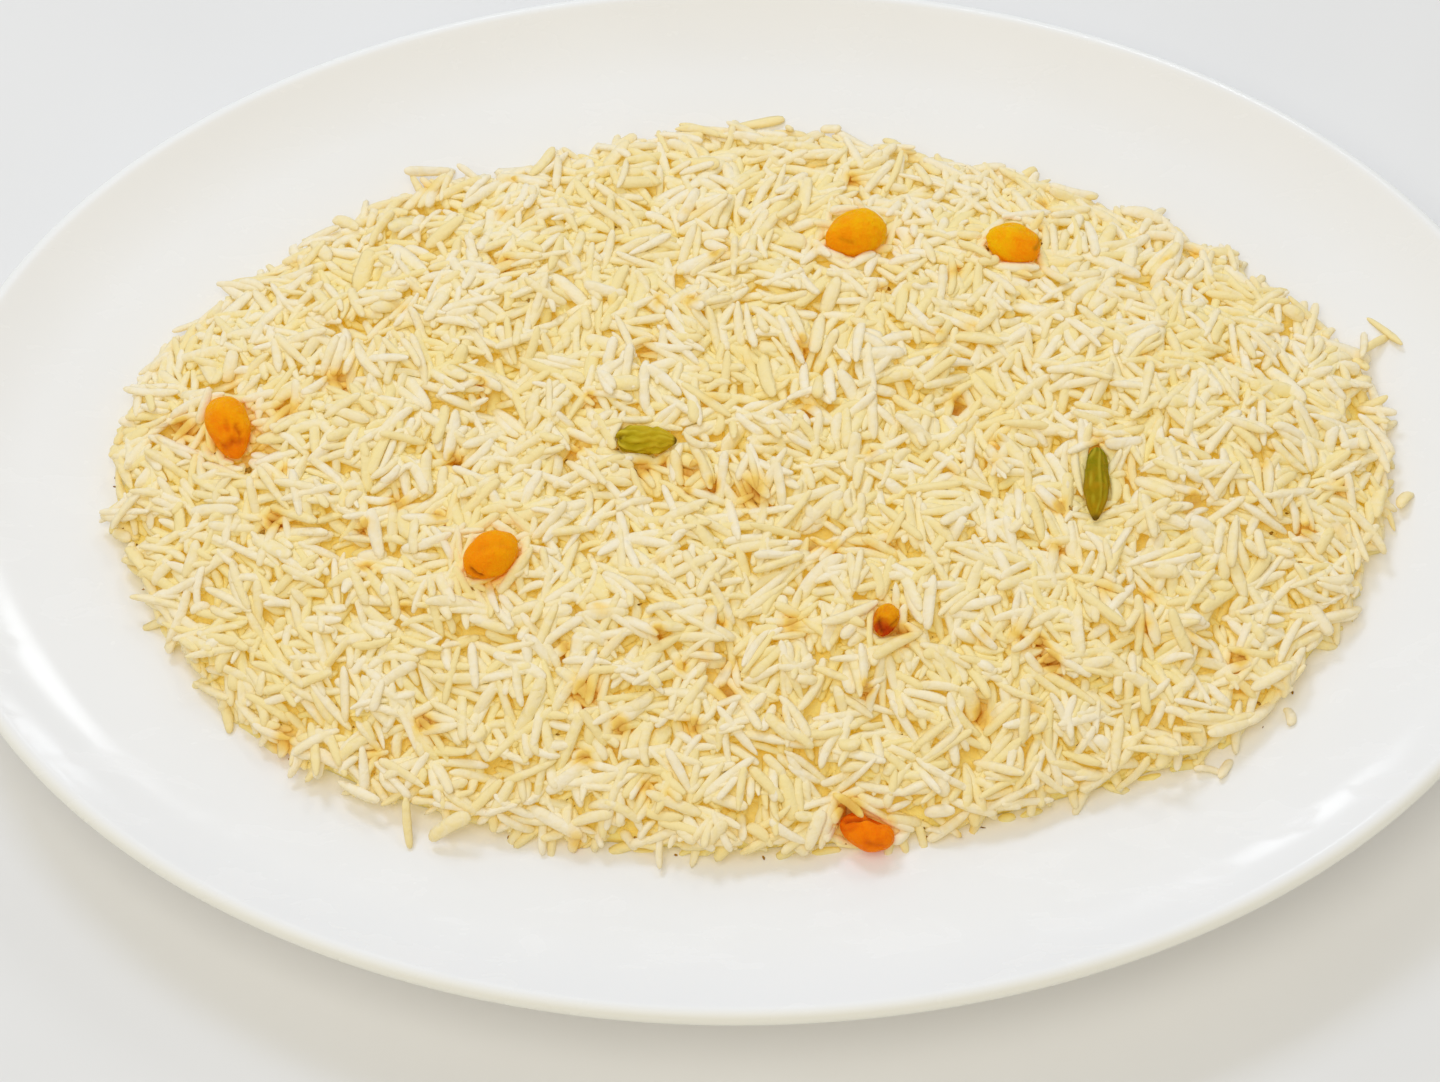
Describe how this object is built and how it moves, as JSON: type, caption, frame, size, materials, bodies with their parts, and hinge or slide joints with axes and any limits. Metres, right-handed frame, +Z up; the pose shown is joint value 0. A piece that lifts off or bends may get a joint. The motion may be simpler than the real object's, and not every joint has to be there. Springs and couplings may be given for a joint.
{
  "type": "plate of white rice",
  "caption": "Wide-rimmed oval white platter spread with a low oval heap of boiled long-grain white rice, dotted with golden raisins and green cardamom pods.",
  "frame": {"origin": "centre of the platter on the surface that its foot ring stands on", "axes": "+X along the platter's long axis, +Y along its short axis, +Z up out of the dish"},
  "size_m": [0.311, 0.2272, 0.0358],
  "materials": {
    "glaze": "gloss",
    "boiled_rice": "satin",
    "raisin_skin": "satin",
    "pod_husk": "matte"
  },
  "bodies": {
    "root": {"platter": "glaze", "rice": "boiled_rice", "raisin_1": "raisin_skin", "raisin_2": "raisin_skin", "raisin_3": "raisin_skin", "raisin_4": "raisin_skin", "raisin_5": "raisin_skin", "raisin_6": "raisin_skin", "cardamom_1": "pod_husk", "cardamom_2": "pod_husk"}
  },
  "joints": []
}
